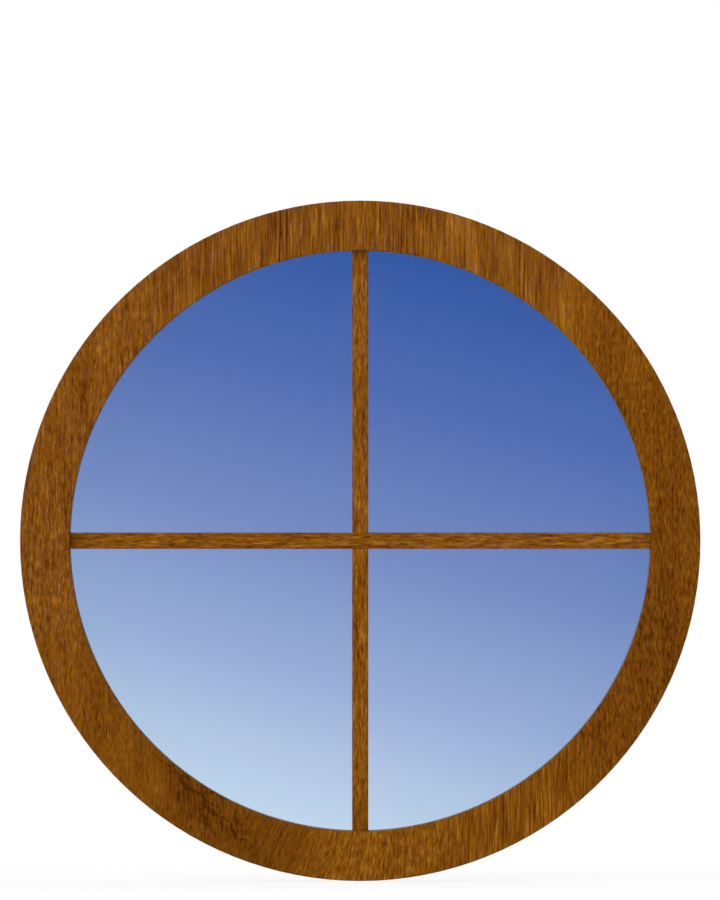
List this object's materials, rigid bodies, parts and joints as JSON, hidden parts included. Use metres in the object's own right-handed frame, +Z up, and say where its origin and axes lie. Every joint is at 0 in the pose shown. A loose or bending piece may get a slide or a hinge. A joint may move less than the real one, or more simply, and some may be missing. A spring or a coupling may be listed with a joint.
{
  "type": "round window",
  "caption": "Round fixed window: a woodgrain plastic ring frame, a double-glazed sealed unit held by clip-in beads, and a cross of glazing bars on both faces.",
  "frame": {"origin": "centre of the window, half way through the depth of the frame", "axes": "+X to the right and +Z up as seen from outside, +Y from the outside face into the room"},
  "size_m": [0.8, 0.07, 0.8],
  "materials": {
    "woodgrain_foil": "golden oak woodgrain foil, fine embossed grain, low sheen",
    "glass": "clear float glass that shows a blue sky",
    "gasket_rubber": "extruded grey rubber, dull",
    "spacer_alloy": "mill finish, perforated on the cavity side",
    "spacer_key_plastic": "moulded grey plastic",
    "desiccant": "loose drying beads",
    "butyl": "soft black butyl",
    "edge_sealant": "dark grey two-part sealant",
    "grid_alloy": "bare aluminium",
    "grid_plastic": "moulded light grey plastic",
    "plug_plastic": "clear moulded plastic, slightly milky",
    "bonding_tape": "white acrylic foam tape",
    "packer_plastic": "moulded blue plastic"
  },
  "bodies": {
    "root": {"frame_ring": "woodgrain_foil", "bead_upper": "woodgrain_foil", "bead_lower": "woodgrain_foil", "outside_bar_cross": "woodgrain_foil", "outside_bar_upper": "woodgrain_foil", "outside_bar_lower": "woodgrain_foil", "inside_bar_cross": "woodgrain_foil", "inside_bar_upper": "woodgrain_foil", "inside_bar_lower": "woodgrain_foil", "outer_pane": "glass", "inner_pane": "glass", "outer_gasket": "gasket_rubber", "inner_gasket": "gasket_rubber", "spacer_bar": "spacer_alloy", "spacer_key": "spacer_key_plastic", "desiccant_fill": "desiccant", "outer_butyl_seal": "butyl", "inner_butyl_seal": "butyl", "edge_sealant": "edge_sealant", "grid_bar_upper": "grid_alloy", "grid_bar_right": "grid_alloy", "grid_bar_lower": "grid_alloy", "grid_bar_left": "grid_alloy", "grid_cross": "grid_plastic", "grid_plug_upper": "plug_plastic", "grid_plug_right": "plug_plastic", "grid_plug_lower": "plug_plastic", "grid_plug_left": "plug_plastic", "outside_tape_cross": "bonding_tape", "outside_tape_upper": "bonding_tape", "outside_tape_lower": "bonding_tape", "inside_tape_cross": "bonding_tape", "inside_tape_upper": "bonding_tape", "inside_tape_lower": "bonding_tape", "packer_top_right": "packer_plastic", "packer_right": "packer_plastic", "packer_bottom_right": "packer_plastic", "packer_bottom_left": "packer_plastic", "packer_left": "packer_plastic", "packer_top_left": "packer_plastic"}
  },
  "joints": []
}
